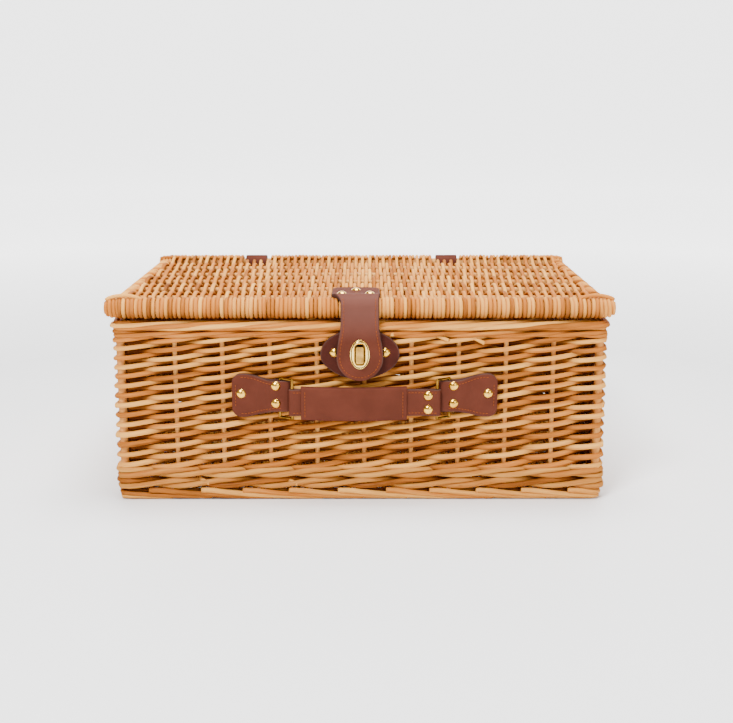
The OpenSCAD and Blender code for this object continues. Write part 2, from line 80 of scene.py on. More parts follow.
WALL_T = FRONT_HIGH[1] - FRONT_LOW[1]
HALF_X = FRONT_HIGH[0] - WALL_T / 2  # the walls' middle line
HALF_Y = -FRONT_LOW[1] - WALL_T / 2
OUTER_Y = -FRONT_LOW[1]
STAKE_R = STAKES_HIGH[0] - HALF_X
POST_R = POSTS_HIGH[0] - HALF_X
STAKE_SHIFT = 4.0  # the front and back stakes sit slightly to the right
PITCHES_WIDE, PITCHES_DEEP = 10.4, 6.7  # stake spacings in the width outside and the depth inside
STAKE_PITCH = 2 * FRONT_HIGH[0] / PITCHES_WIDE
END_PITCH = 2 * (HALF_Y - WALL_T / 2) / PITCHES_DEEP
CORNER_BLEND = 11.0  # the outward direction turns this far to each side of a post

EDGE_R = (STICK_HIGH[2] - STICK_LOW[2]) / 2
EDGE_Z = (STICK_HIGH[2] + STICK_LOW[2]) / 2
EDGE_Y = -(STICK_HIGH[1] + STICK_LOW[1]) / 2
LID_X = LID_HIGH[0]
LID_STICK_R = (LID_STICKS_HIGH[2] - LID_STICKS_LOW[2]) / 2
LID_STICK_PITCH = EDGE_Y / 3

# The turn lock's slot, across and up, through the strap and its eyelet.
SLOT_W, SLOT_H = 8.2, 18.4


# ---- meshes

def smoothstep(t):
    t = np.clip(t, 0, 1)
    return t * t * (3 - 2 * t)


def through(values, t):
    """A smooth curve through values at 0, 1, 2, ..., read at each t."""
    values = np.asarray(values, float)
    last = len(values) - 1
    i = np.clip(np.floor(t).astype(int), 0, last)
    f = t - i
    at = [values[np.clip(i + k, 0, last)] for k in (-1, 0, 1, 2)]
    a = 2 * at[1]
    b = at[2] - at[0]
    c = 2 * at[0] - 5 * at[1] + 4 * at[2] - at[3]
    d = 3 * at[1] - at[0] - 3 * at[2] + at[3]
    return 0.5 * (a + b * f + c * f * f + d * f ** 3)


def wobble(t, size, step=1.0):
    """Slow random wandering of the given size along t."""
    span = t[-1] - t[0]
    values = rng.normal(0, size, int(span / step) + 4)
    return through(values, (t - t[0]) / step + 1)


def unit(v):
    return v / np.maximum(np.linalg.norm(v, axis=-1, keepdims=True), 1e-9)


def xyz(x, y, z):
    """Points from their coordinates, each an array or one number."""
    return np.stack(np.broadcast_arrays(x, y, z), -1)


def distances(path):
    """How far along a path each of its points is."""
    return np.concatenate([[0], np.cumsum(np.linalg.norm(np.diff(path, axis=0), axis=1))])


def read_off(points, reach, at):
    """Points read off a path at distances along it."""
    return np.stack([np.interp(at, reach, points[:, k]) for k in range(3)], -1)


def smoothed(path, times):
    """Eases a path's kinks: each inner point moves towards the middle of its neighbours."""
    for _ in range(times):
        path[1:-1] = 0.25 * path[:-2] + 0.5 * path[1:-1] + 0.25 * path[2:]
    return path


def rounding(past, radius):
    """How much a corner of this radius takes off a width, so far past where the corner begins."""
    past = np.clip(past, 0, radius)
    return radius - np.sqrt(radius ** 2 - past ** 2)


def signed_power(value, power):
    return np.sign(value) * np.abs(value) ** power


class Mesh:
    """Collects swept shapes and builds one object from them."""

    def __init__(self):
        self.points, self.faces, self.uvs, self.tones, self.slots, self.shades = [], [], [], [], [], []
        self.count = 0

    def put(self, points, faces, uvs, tone, slot=0, shade=0.0):
        self.points.append(points)
        self.faces += (np.asarray(faces) + self.count).tolist() if len(faces) else []
        self.uvs.append(uvs)
        self.tones.append(np.full(len(points), tone))
        self.shades.append(np.broadcast_to(shade, len(points)))
        self.slots.append(np.full(len(faces), slot) if np.isscalar(slot) else np.asarray(slot))
        self.count += len(points)

    def sweep(self, rings, along, across, tone, slot=0, flip=False, shade=0.0):
        """Joins closed rings of points (n, m, 3) with quads and closes both ends with fans."""
        n, m, _ = rings.shape
        i, k = np.meshgrid(np.arange(n - 1), np.arange(m), indexing="ij")
        j = (k + 1) % m
        quads = np.stack([i * m + k, (i + 1) * m + k, (i + 1) * m + j, i * m + j], -1).reshape(-1, 4)
        v0, v1 = across[k], np.where(k + 1 < m, across[(k + 1) % m], across[0] + across[-1] + across[1])
        u0, u1 = along[i], along[i + 1]
        uv = np.stack([np.stack([u0, v0], -1), np.stack([u1, v0], -1),
                       np.stack([u1, v1], -1), np.stack([u0, v1], -1)], -2).reshape(-1, 2)
        if flip:
            quads = quads[:, ::-1]
            uv = uv.reshape(-1, 4, 2)[:, ::-1].reshape(-1, 2)
        face_slots = slot if np.isscalar(slot) else np.tile(np.asarray(slot), n - 1)
        shades = np.repeat(np.broadcast_to(shade, n), m)
        self.put(rings.reshape(-1, 3), quads, uv, tone, face_slots, shades)
        start = self.count - n * m
        for row, order in ((0, 1), (n - 1, -1)):
            fan = (start + row * m + np.arange(m))[::order * (-1 if flip else 1)]
            self.faces.append(fan.tolist())
            self.uvs.append(np.stack([np.full(m, along[row]), across], -1))
            self.slots.append(np.full(1, 0 if np.isscalar(slot) else slot[0]))

    def rod(self, path, radius, up, wide=1.0, sides=8, tone=None, slot=0, shade=0.0):
        """A rod along path. up is never along the path, wide stretches it across up, shade darkens it."""
        path = np.asarray(path, float)
        radius = np.broadcast_to(np.asarray(radius, float), len(path))[:, None, None]
        wide = np.broadcast_to(np.asarray(wide, float), len(path))[:, None, None]
        tangent = unit(np.gradient(path, axis=0))
        side = unit(np.cross(tangent, np.broadcast_to(up, tangent.shape)))
        normal = np.cross(side, tangent)
        angle = np.arange(sides) * 2 * math.pi / sides
        rings = path[:, None] + radius * (
            np.cos(angle)[None, :, None] * side[:, None] * wide
            + np.sin(angle)[None, :, None] * normal[:, None])
        along = (distances(path) + rng.uniform(0, 4000)) * MM
        across = np.arange(sides) / sides
        self.sweep(rings, along, across, rng.uniform() if tone is None else tone, slot, shade=shade)

    def build(self, name, materials, body, record_slot, replaced=()):
        """Makes the object and rides it on its body; record_slot, what it stands for, is not used."""
        data = bpy.data.meshes.new(name)
        data.from_pydata((np.concatenate(self.points) * MM).tolist(), [], self.faces)
        data.uv_layers.new(name="rod").data.foreach_set("uv", np.concatenate(self.uvs).ravel())
        for key, values in (("tone", self.tones), ("shade", self.shades)):
            data.attributes.new(key, "FLOAT", "POINT").data.foreach_set("value", np.concatenate(values))
        data.polygons.foreach_set("material_index", np.concatenate(self.slots).astype(int))
        data.polygons.foreach_set("use_smooth", np.ones(len(data.polygons), bool))
        for material in materials:
            data.materials.append(material)
        data.update()
        piece = bpy.data.objects.new(name, data)
        bpy.context.scene.collection.objects.link(piece)
        if body:
            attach(piece, body)
        if replaced:
            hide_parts(*replaced)
        return piece


# ---- materials

class Shader:
    """A principled material and short calls that add nodes to it."""

    def __init__(self, name, **constants):
        self.material = bpy.data.materials.new(name)
        self.material.use_nodes = True
        self.tree = self.material.node_tree
        self.bsdf = self.tree.nodes["Principled BSDF"]
        for key, value in constants.items():
            self.bsdf.inputs[key.replace("_", " ")].default_value = value

    def node(self, kind, inputs=None, **settings):
        made = self.tree.nodes.new(kind)
        for key, value in settings.items():
            setattr(made, key, value)
        for key, value in (inputs or {}).items():
            if isinstance(value, bpy.types.NodeSocket):
                self.tree.links.new(value, made.inputs[key])
            else:
                made.inputs[key].default_value = value
        return made

    def place(self, scale, layer=None):
        """Object space, or the rods' own length and girth, scaled."""
        if layer:
            source = self.node("ShaderNodeUVMap", uv_map=layer).outputs["UV"]
        else:
            source = self.node("ShaderNodeTexCoord").outputs["Object"]
        return self.node("ShaderNodeMapping", {"Vector": source, "Scale": scale}).outputs["Vector"]

    def noise(self, vector, scale, detail=3.0, roughness=0.5):
        made = self.node("ShaderNodeTexNoise", {"Vector": vector, "Scale": scale,
                                                "Detail": detail, "Roughness": roughness})
        return made.outputs["Fac"]

    def ramp(self, fac, stops):
        made = self.node("ShaderNodeValToRGB", {"Fac": fac})
        elements = made.color_ramp.elements
        while len(elements) < len(stops):
            elements.new(0.5)
        for element, (position, colour) in zip(elements, stops):
            element.position = position
            element.color = (*colour, 1)
        return made.outputs["Color"]

    def span(self, fac, low, high, start=0.0, end=1.0):
        made = self.node("ShaderNodeMapRange", {"Value": fac, "From Min": start, "From Max": end,
                                                "To Min": low, "To Max": high})
        return made.outputs["Result"]

    def math(self, operation, a, b):
        return self.node("ShaderNodeMath", {0: a, 1: b}, operation=operation).outputs[0]

    def mix(self, fac, a, b, blend="MIX"):
        made = self.node("ShaderNodeMix", {"Factor": fac}, data_type="RGBA", blend_type=blend)
        for socket, value in ((made.inputs[6], a), (made.inputs[7], b)):
            if isinstance(value, bpy.types.NodeSocket):
                self.tree.links.new(value, socket)
            else:
                socket.default_value = (*value, 1)
        return made.outputs[2]

    def finish(self, colour, roughness=None, height=None, depth=0.0002, strength=0.5):
        self.tree.links.new(colour, self.bsdf.inputs["Base Color"])
        if roughness:
            self.tree.links.new(roughness, self.bsdf.inputs["Roughness"])
        if height:
            bump = self.node("ShaderNodeBump", {"Height": height, "Strength": strength, "Distance": depth})
            self.tree.links.new(bump.outputs["Normal"], self.bsdf.inputs["Normal"])
        return self.material


def willow_material(name, dark, middle, pale, on_rods=True):
    """Peeled, varnished willow: each rod has its own tone, long streaks, stains and small knots, and painted
    shade from the rods' shade attribute.
    """
    shader = Shader(name, Coat_Weight=0.06, Coat_Roughness=0.25, IOR=1.02)
    layer = "rod" if on_rods else None
    streaks = shader.noise(shader.place((60, 7, 7) if on_rods else (220, 220, 220), layer), 1.0, 4.0, 0.6)
    stains = shader.noise(shader.place((14, 1.2, 1) if on_rods else (25, 25, 25), layer), 1.0, 2.0, 0.5)
    if on_rods:
        tone = shader.node("ShaderNodeAttribute", attribute_name="tone").outputs["Fac"]
    else:
        tone = shader.noise(shader.place((30, 30, 3)), 1.0, 1.0)
    mixed = shader.math("ADD", shader.math("MULTIPLY", tone, 0.55), shader.math("MULTIPLY", stains, 0.75))
    mixed = shader.math("ADD", mixed, shader.math("MULTIPLY", streaks, 0.35))
    colour = shader.ramp(shader.span(mixed, 0, 1, 0.32, 1.22), [(0.0, dark), (0.45, middle), (1.0, pale)])
    knots = shader.node("ShaderNodeTexVoronoi", {
        "Vector": shader.place((38, 2.2, 1) if on_rods else (60, 60, 60), layer), "Scale": 1.0})
    spot = shader.span(knots.outputs["Distance"], 1, 0, 0.03, 0.14)
    colour = shader.mix(shader.math("MULTIPLY", spot, 0.45), colour, (0.12, 0.045, 0.016))
    if on_rods:
        # painted shade: the shade attribute darkens the colour
        shade = shader.node("ShaderNodeAttribute", attribute_name="shade").outputs["Fac"]
        colour = shader.mix(shader.math("MULTIPLY", shade, 0.92), colour, (0.26, 0.16, 0.10), "MULTIPLY")
    return shader.finish(colour, shader.span(streaks, 0.34, 0.56), streaks, 0.0003, 0.35)


def leather_material(name, dark, light, roughness=0.42, sheen_and_wear=None):
    """Smooth finished leather: fine grain and soft mottling, and pale along a strip, partly from wear and
    partly as a painted sheen.
    """
    shader = Shader(name, IOR=1.02, Coat_Weight=0.04, Coat_Roughness=0.4)
    where = shader.place((1, 1, 1))
    mottle = shader.noise(where, 45.0, 3.0)
    pores = shader.node("ShaderNodeTexVoronoi", {"Vector": where, "Scale": 1500.0})
    grain = shader.math("ADD", pores.outputs["Distance"], shader.noise(where, 900.0, 2.0))
    colour = shader.mix(shader.span(mottle, 0, 1, 0.35, 0.68), dark, light)
    colour = shader.mix(shader.span(grain, 0.12, 0, 0.45, 1.0), colour, tuple(0.5 * c for c in dark))
    # the pale strip is partly wear and partly a painted sheen
    if sheen_and_wear:
        middle, half_length, amount = sheen_and_wear
        along = shader.node("ShaderNodeSeparateXYZ", {0: shader.place((1, 1, 1), "rod")}).outputs["X"]
        away = shader.math("ABSOLUTE", shader.math("SUBTRACT", along, middle), 0.0)
        fade = shader.span(away, amount, 0, 0.35 * half_length, half_length)
        fade = shader.math("SMOOTH_MIN", fade, amount)
        colour = shader.mix(fade, colour, SHEEN_AND_WEAR_LEATHER)
    rough = shader.span(mottle, roughness - 0.06, roughness + 0.1)
    return shader.finish(colour, rough, grain, 0.00012, 0.35)


def brass_material(name, dark, middle, pale):
    """Polished brass with faint brushing and darker spots."""
    shader = Shader(name, Metallic=1.0)
    where = shader.place((1, 1, 1))
    tarnish = shader.noise(where, 120.0, 4.0)
    colour = shader.ramp(tarnish, [(0.3, dark), (0.55, middle), (0.8, pale)])
    shine = shader.span(tarnish, 0.12, 0.3)
    return shader.finish(colour, shine, shader.noise(where, 1400.0, 2.0), 0.00003, 0.2)


def thread_material(name):
    """Waxed thread, twisted from two strands."""
    shader = Shader(name, IOR=1.1)
    twist = shader.noise(shader.place((2500, 2500, 2500)), 1.0, 2.0)
    colour = shader.mix(twist, (0.19, 0.040, 0.007), (0.33, 0.078, 0.013))
    return shader.finish(colour, shader.span(twist, 0.5, 0.75), twist, 0.0002, 0.6)


STRAP_TONES = ((0.083, 0.0222, 0.0130), (0.102, 0.0276, 0.0164))
# the pale strip's colour: wear and a painted sheen
SHEEN_AND_WEAR_LEATHER = (0.16, 0.068, 0.054)
CREASE = (0.070, 0.042, 0.55)  # metres along the clasp strap, half the pale length, how pale; wear and a painted sheen over the bend

willow = willow_material("willow", (0.115, 0.030, 0.0045), (0.50, 0.165, 0.024), (0.84, 0.42, 0.095))
willow_stick = willow_material("willow_stick", (0.24, 0.080, 0.014), (0.54, 0.22, 0.05), (0.78, 0.43, 0.13),
                               on_rods=False)
leather = leather_material("strap_leather", *STRAP_TONES)
leather_sheen_and_wear = leather_material("clasp_leather", *STRAP_TONES, sheen_and_wear=CREASE)
leather_dark = leather_material("keeper_leather", (0.042, 0.0110, 0.0074), (0.062, 0.0155, 0.0105), 0.5)
leather_edge = leather_material("painted_edge", (0.055, 0.024, 0.018), (0.095, 0.046, 0.036), 0.35)
thread = thread_material("thread")
brass = brass_material("brass", (0.58, 0.27, 0.025), (0.95, 0.54, 0.07), (1.0, 0.68, 0.14))
brass_dull = brass_material("dull_brass", (0.06, 0.025, 0.003), (0.24, 0.115, 0.014), (0.42, 0.22, 0.03))
brass_knob = brass_material("knob_brass", (0.12, 0.055, 0.008), (0.46, 0.25, 0.05), (0.70, 0.44, 0.10))
brass_pale = brass_material("plate_brass", (0.80, 0.46, 0.08), (1.0, 0.72, 0.22), (1.0, 0.84, 0.34))
# painted shade: a darkened brass for the eyelet's groove and slot and the turn lock's plate
brass_painted_shade = brass_material("painted_shade_brass", (0.08, 0.036, 0.008), (0.14, 0.070, 0.016), (0.20, 0.105, 0.026))


# ---- the walls' course

def upright_places():
    """Places of all the uprights along the walls' middle line, from the front left post."""
    width, depth = 2 * HALF_X, 2 * HALF_Y
    long_xs = STAKE_SHIFT + STAKE_PITCH * np.arange(-4, 5)
    end_ys = END_PITCH * np.arange(-2.5, 3)
    return np.concatenate([
        [0], long_xs + HALF_X,
        [width], width + end_ys + HALF_Y,
        [width + depth], width + depth + HALF_X - long_xs[::-1],
        [2 * width + depth], 2 * width + depth + HALF_Y - end_ys[::-1]])


UPRIGHTS = upright_places()
COUNT = len(UPRIGHTS)
AROUND = 4 * (HALF_X + HALF_Y)
CORNERS = np.array([0, 2 * HALF_X, 2 * HALF_X + 2 * HALF_Y, 4 * HALF_X + 2 * HALF_Y, AROUND])
UPRIGHT_R = np.where(np.isin(UPRIGHTS, CORNERS), POST_R, STAKE_R)


def wall_point(turn, out, z):
    """A point beside the upright number turn, out from the walls' middle line, at height z."""
    place = np.interp(turn % COUNT, np.arange(COUNT + 1), np.append(UPRIGHTS, AROUND))
    heading = -math.pi + sum(math.pi / 2 * smoothstep((place - corner + CORNER_BLEND) / (2 * CORNER_BLEND))
                             for corner in CORNERS)
    corner_xy = np.array([[-1, -1], [1, -1], [1, 1], [-1, 1], [-1, -1]]) * [HALF_X, HALF_Y]
    x = np.interp(place, CORNERS, corner_xy[:, 0]) + out * np.cos(heading)
    y = np.interp(place, CORNERS, corner_xy[:, 1]) + out * np.sin(heading)
    return xyz(x, y, z)


ACROSS = np.array([1.0, 0.0, 0.0])
BACK = np.array([0.0, 1.0, 0.0])
UP = np.array([0.0, 0.0, 1.0])
WALE_START = 19  # the wales' rods begin and end at the back


def randing():
    """The siding: one rod starts at every upright, goes outside one and inside the next, and climbs."""
    mesh = Mesh()
    low, high = LOW_WALE_HIGH[2], UP_WALE_LOW[2]
    steps, points_per_step = 27, 9  # a step is from one upright to the next
    butt_r, taper, clear = 2.62, 0.42, 2.15
    packing = 1.5  # except in front, the rods are this much taller and thinner
    for start in range(COUNT):
        t = np.linspace(-0.85, steps + 0.15, steps * points_per_step)
        u = t / steps
        radius = (butt_r - taper * u) * (1 + rng.normal(0, 0.03)) * (1 + wobble(t, 0.025, 2.0))
        whole = np.arange(-1, steps + 3)
        reach = UPRIGHT_R[(start + whole) % COUNT] + clear
        signs = np.where(whole % 2 == 0, 1, -1)
        out = through(signs * reach + rng.normal(0, 0.22, len(whole)), t + 1)
        z = low + 1.6 + (high - low) * (1.087 * u - 0.087 * u * u) + wobble(t, 0.2, 1.3)
        path = wall_point(start + t, out, 0)
        front = smoothstep((14 - path[:, 1] - HALF_Y) / 10)  # 1 on the front wall and 0 on the others
        z = z + 0.6 * front * np.sin(math.pi * t)  # steeper outside the uprights than inside
        path[:, 2] = np.clip(z, low - 1.5, high + 1.5)
        taller = packing - (packing - 1) * front
        mesh.rod(path, radius * taller, UP, wide=1 / taller, sides=10, shade=inward(out))
    mesh.build("siding_rods", [willow], "basket", "woven_willow",
               ["front_siding", "back_siding", "left_siding", "right_siding"])


def inward(out):
    """How shaded a rod is: it darkens from the walls' outside to their inside."""
    return smoothstep((2.4 - out) / 5.5)


def wale(mesh, middle, swing, radius, first, least_painted_shade):
    """One round of three-rod wale: each rod passes outside two uprights and inside the third.

    swing is how far the rods rise and fall as they cross, and the last argument is how much painted shade
    darkens them at least.
    """
    for rod in range(3):
        start = first + rod
        t = np.linspace(-0.45, COUNT - 0.5, COUNT * 9)
        whole = np.arange(-1, COUNT + 2)
        phase = whole % 3
        reach = UPRIGHT_R[(start + whole) % COUNT] + radius * 0.95
        out = through(np.where(phase == 0, -1, 1) * reach + rng.normal(0, 0.15, len(whole)), t + 1)
        rise = through(np.choose(phase, [0.0, -1.0, 1.0]) * swing, t + 1)
        path = wall_point(start + t, out, middle + rise + wobble(t, 0.18, 2.0))
        # painted shade: darker towards the walls' inside, and never below the given least amount
        shade = np.maximum(inward(out), least_painted_shade)
        mesh.rod(path, radius * (1 + wobble(t, 0.05, 4.0)), UP, sides=10, shade=shade)


def wales():
    """Two rounds of wale above the foot and one below the rim."""
    lower = Mesh()
    height = (LOW_WALE_HIGH[2] - LOW_WALE_LOW[2]) / 2
    for k, middle in enumerate((LOW_WALE_LOW[2] + height / 2, LOW_WALE_HIGH[2] - height / 2)):
        wale(lower, middle, swing=2.9, radius=2.6, first=WALE_START + k, least_painted_shade=0.42)
    lower.build("lower_wale_rods", [willow], "basket", "woven_willow", ["lower_wale"])
    upper = Mesh()
    middle = (UP_WALE_LOW[2] + UP_WALE_HIGH[2]) / 2
    wale(upper, middle, swing=1.6, radius=2.1, first=WALE_START + 2, least_painted_shade=0.2)
    upper.build("upper_wale_rods", [willow], "basket", "woven_willow", ["upper_wale"])


RIM_GAP = 1.8  # a dark line shows between the rim and the lid


def rim_border():
    """A rolled border: a stroke from every upright turns round the border's section as it runs along."""
    mesh = Mesh()
    low, high = RIM_LOW, RIM_HIGH - [0, 0, RIM_GAP]
    radius, length = 2.42, 4.3  # a stroke's length is in uprights
    first, last = -125, 150  # degrees round the section, from its outside
    out_low, out_high = -WALL_T / 2, -low[1] - HALF_Y
    centre_out, centre_z = (out_low + out_high) / 2, (low[2] + high[2]) / 2
    swing_out = (out_high - out_low) / 2 - radius
    swing_z = (high[2] - low[2]) / 2 - radius
    for start in range(COUNT):
        t = np.linspace(0, 1, int(length * 11))
        turn = math.radians(first) + math.radians(last - first) * t
        r = radius * (1 + rng.normal(0, 0.05)) * (1 - 0.12 * t)
        out = centre_out + swing_out * np.cos(turn) + wobble(t * length, 0.12)
        z = centre_z + swing_z * np.sin(turn)
        path = wall_point(start + t * length + rng.normal(0, 0.04), out, z)
        mesh.rod(path, r, UP, sides=12, shade=0.8 * inward(out - 1))
    mesh.build("rim_rods", [willow], "basket", "woven_willow", ["rim_border"])


def foot_border():
    """The foot: a blunt rod from under the wale beside every upright, sloping down to the floor."""
    mesh = Mesh()
    radius, length = 2.6, 2.5  # a stroke's length is in uprights
    out_high = -FOOT_LOW[1] - HALF_Y - radius
    z_high, z_low = FOOT_HIGH[2] - 1.9, 0.8 * radius + 0.7
    inner_out, inner_z = out_high - 5.6, 0.5 * (z_high + z_low) + 1.5
    for start in range(COUNT):
        t = np.linspace(0, 1, 30)
        reach = length * (1 + rng.normal(0, 0.03))
        r = radius * (1.03 - 0.2 * t) * (1 + rng.normal(0, 0.04))
        fall = smoothstep(0.5 + 0.5 * t - 0.5 * (1 - t) ** 3)
        z = z_high + (z_low - z_high) * fall + wobble(t * length, 0.1)
        depth = 0.2 + 1.9 * t  # each stroke slips behind the next one
        begin = start + 0.4 + rng.normal(0, 0.07)
        mesh.rod(wall_point(begin + t * reach, out_high - depth, z), r, UP, sides=12, shade=0.25 * t)
        inner = wall_point(start + 0.9 + t * reach, inner_out - t, inner_z - 3 * t)
        mesh.rod(inner, radius, UP, sides=10, shade=0.75)
    mesh.build("foot_rods", [willow], "basket", "woven_willow", ["foot_border"])


def cut_ends():
    """Short butt ends of rods that were trimmed after weaving and still stand out a little."""
    mesh = Mesh()
    along, out, radius = 0.22, 6.2, 1.9  # along is in uprights
    t = np.linspace(0, 1, 6)
    # the upright each end is beside, its height, and how much it rises
    for turn, z, rise in ((6.55, 160.5, -3.0), (7.3, 159.0, -4.2), (1.45, 20.5, -3.6), (3.35, 19.5, -3.6),
                          (5.4, 161.0, 2.4), (12.4, 60.0, 2.4), (20.6, 150.0, -2.4), (27.3, 40.0, 3.0)):
        path = wall_point(turn + along * t, 1.0 + out * t, z + rise * t)
        mesh.rod(path, radius, UP, tone=0.85)
    mesh.build("cut_rod_ends", [willow], "basket", "woven_willow")


def base_panel():
    """The base: rods from front to back over and under the base's sticks."""
    mesh = Mesh()
    sticks_low, sticks_high = node_box("base_sticks")
    middle = (BASE_LOW[2] + BASE_HIGH[2]) / 2
    reach = (sticks_high[2] - sticks_low[2]) / 2 + 1.5
    count, radius, narrow = 104, 2.1, 0.72
    half_y = BASE_HIGH[1] - 0.3
    for k in range(count):
        x = BASE_LOW[0] + (BASE_HIGH[0] - BASE_LOW[0]) * (k + 0.5) / count
        y = np.linspace(-half_y, half_y, 57)
        signs = np.array([1, -1, 1, -1, 1, -1, 1, -1, 1]) * (1 if k % 2 else -1)
        z = middle + through(signs * reach, y / END_PITCH + 4)
        path = xyz(x + wobble(y, 0.12, 60), y, z)
        mesh.rod(path, radius, ACROSS, wide=narrow, sides=8)
    mesh.build("base_rods", [willow], "basket", "woven_willow", ["base_weave"])


# ---- the lid

HINGE_BOXES = [node_box("left_hinge_strap"), node_box("right_hinge_strap")]
LID_COUNT = 114
LID_ROD_R = 2.0
LID_WEAVE_X = LID_X + 6.0  # the weave reaches over the inner side of the end borders


def lid_rods():
    """The lid's weave: every rod goes over and under the sticks and turns round both edge sticks."""
    mesh = Mesh()
    pitch = 2 * LID_WEAVE_X / LID_COUNT
    wrap_r = EDGE_R + LID_ROD_R + 0.05
    wrap_from, wrap_to = -130, 82  # degrees round the edge stick, from its outermost side
    notch_gap, notch_l = 3.0, 13.5  # beside a hinge strap, and in front of the back stick's middle
    reach = LID_STICK_R + LID_ROD_R
    for k in range(LID_COUNT):
        x = -LID_WEAVE_X + pitch * (k + 0.5)
        side = 1 if k % 2 else -1
        signs = side * np.array([1, -1, 1, -1, 1, -1, 1])
        heights = signs * np.array([wrap_r] + [reach] * 5 + [wrap_r])
        t = np.linspace(0, 6, 58)
        y = -EDGE_Y + t * LID_STICK_PITCH
        z = through(np.concatenate([[heights[1]], heights, [heights[-2]]]), t + 1)
        notched = any(low[0] - notch_gap < x < high[0] + notch_gap for low, high in HINGE_BOXES)
        if notched:
            keep = y < EDGE_Y - notch_l
            y, z = y[keep], z[keep]
        turn = np.radians(np.linspace(wrap_from, wrap_to, 13))
        front_y, front_z = -EDGE_Y - wrap_r * np.cos(turn), side * wrap_r * np.sin(turn)
        parts_y, parts_z = [front_y, y], [front_z, z]
        if not notched:
            parts_y.append(-front_y[::-1])
            parts_z.append(front_z[::-1])
        ys, zs = np.concatenate(parts_y), np.concatenate(parts_z)
        index = np.arange(len(ys), dtype=float)
        slant = np.interp(ys, [-EDGE_Y - 8, -EDGE_Y + 8, EDGE_Y - 8, EDGE_Y + 8], [0.6, 0, 0, 0.6])
        path = xyz(x + wobble(index, 0.28, 12) + slant, ys, EDGE_Z + zs + wobble(index, 0.12, 10))
        past_edge, height = np.abs(ys) - EDGE_Y, path[:, 2] - EDGE_Z
        packed = 1 + 0.14 * smoothstep((past_edge + 12) / 10)
        at_edge = smoothstep((past_edge + 4) / 6)
        # painted shade under the rods, and on the lower part of the wraps round the edge sticks
        under = smoothstep((1 - height) / 6) * (1 - at_edge)
        below = smoothstep((1 - height) / 9) * at_edge
        mesh.rod(path, LID_ROD_R * (1 + rng.normal(0, 0.05)), ACROSS, wide=packed, sides=8,
                 shade=0.85 * under + 0.8 * below)
    return mesh


def lid_end_borders():
    """A rope of three rods along each end of the lid."""
    rope_r, rod_r, lay = 6.6, 3.1, 40.0  # lay is the length of one turn
    for name, sign in (("lid_left_border", -1), ("lid_right_border", 1)):
        low, high = node_box(name)
        x = (low[0] + high[0]) / 2 + 2.0 * sign
        length = high[1] - low[1]
        t = np.linspace(0, length, int(length / 3))
        mesh = Mesh()
        for k in range(3):
            turn = 2 * math.pi * (sign * t / lay + k / 3)
            around = (rope_r - rod_r) * xyz(np.cos(turn), 0, np.sin(turn))
            path = xyz(x, low[1] + t, EDGE_Z) + around
            mesh.rod(path, rod_r * (1 + rng.normal(0, 0.04)), np.cross(BACK, around), sides=8)
        mesh.build(name + "_rope", [willow], "lid", "woven_willow", [name])


CORNER_ROD_R = 1.9


def lid_corners():
    """Each corner: a rod wound round the edge stick's end and another laid over it along the edge."""
    mesh = Mesh()
    begin, tip_x = LID_X + 3.0, STICK_HIGH[0] - 1.6
    turns = (tip_x - begin) / (1.9 * CORNER_ROD_R)  # slightly less than a rod's width each
    t = np.linspace(0, 1, int(turns * 16))
    x = begin + (tip_x - begin) * t
    r = EDGE_R + CORNER_ROD_R * (1 - 1.3 * smoothstep((x - tip_x + 6) / 7) ** 2)
    for sx in (-1, 1):
        for sy in (-1, 1):
            turn = 2 * math.pi * turns * t * sx
            path = xyz(sx * x, sy * EDGE_Y + r * np.cos(turn), EDGE_Z + r * np.sin(turn))
            mesh.rod(path, CORNER_ROD_R, ACROSS, sides=8)
            arch(mesh, sx, sy, tip_x)
    mesh.build("lid_corner_rods", [willow], "lid", "woven_willow", ["lid_corner_bindings"])


def arch(mesh, sx, sy, tip_x):
    """The rod laid over a corner's winding, from the weave to the stick's end."""
    length, end_r = 33.0, 7.6
    lift, lean = (4.5, math.radians(97)) if sy < 0 else (1.9, math.radians(125))
    t = np.linspace(0, 1, 20)
    r = end_r + lift * np.sin(math.pi * t) ** 0.6
    x = sx * (tip_x - length + length * t)
    path = xyz(x, sy * EDGE_Y + r * math.cos(lean), EDGE_Z + r * math.sin(lean))
    mesh.rod(path, CORNER_ROD_R, BACK, sides=8)


# ---- leather

def section(half, thick, corner, flat_points=7):
    """A rounded rectangle's points as (across, out) pairs, and which of its sides are cut edges."""
    corner = min(corner, half * 0.9, thick * 0.48)
    points, edges = [], []
    for q, (sa, so) in enumerate(((1, 1), (-1, 1), (-1, -1), (1, -1))):
        centre = (sa * (half - corner), so * (thick / 2 - corner))
        for k in range(4):
            angle = math.pi / 2 * (q + k / 3)
            points.append((centre[0] + corner * math.cos(angle), centre[1] + corner * math.sin(angle)))
            edges.append(0 if k == 3 and q in (0, 2) else 1)
        if q in (0, 2):
            step = -sa * 2 * (half - corner) / (flat_points + 1)
            for k in range(1, flat_points + 1):
                points.append((centre[0] + step * k, so * thick / 2))
                edges.append(0)
    return np.array(points), edges


